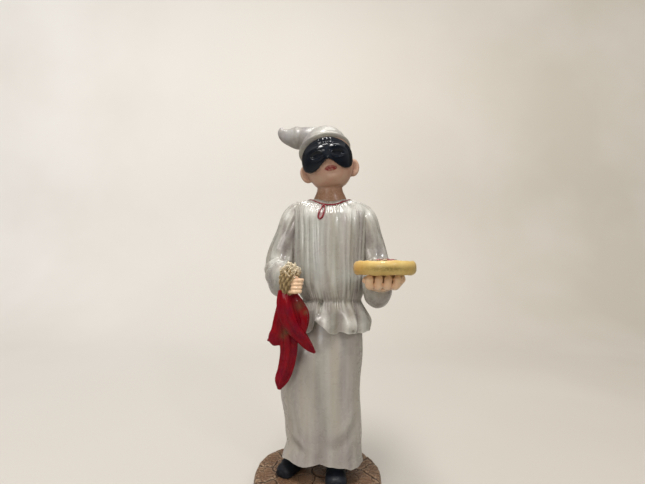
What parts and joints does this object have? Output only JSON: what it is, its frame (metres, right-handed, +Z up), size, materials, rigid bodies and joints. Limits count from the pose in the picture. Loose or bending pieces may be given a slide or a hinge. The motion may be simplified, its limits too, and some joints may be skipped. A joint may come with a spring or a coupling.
{
  "type": "resin statuette of a masked street-theatre man",
  "caption": "Painted cast-resin statuette of a masked man in wide white pleated costume and drooping cap, holding noodles, a red cloth and a pizza, on a round stand.",
  "frame": {"origin": "centre of the round stand's flat underside, on the surface that it stands on", "axes": "+Z up through the man's head, -Y the way he faces, +X towards his left hand with the pizza"},
  "size_m": [0.1242, 0.1422, 0.3149],
  "materials": {
    "pearl_white_paint": "satin pearl white resin paint under clear varnish",
    "stone_brown_paint": "dry-brushed brown resin paint",
    "baked_crust_paint": "glossy pale yellow resin paint",
    "skin_paint": "glossy tan resin paint",
    "mask_black_paint": "high gloss black resin paint",
    "shoe_black_paint": "glossy blue-black resin paint",
    "cloth_red_paint": "glossy deep red resin paint",
    "noodle_cream_paint": "satin cream resin paint with a brown wash",
    "topping_red_paint": "glossy dark red resin paint"
  },
  "bodies": {
    "root": {"figure": "pearl_white_paint", "base": "stone_brown_paint", "pizza": "baked_crust_paint"}
  },
  "joints": []
}
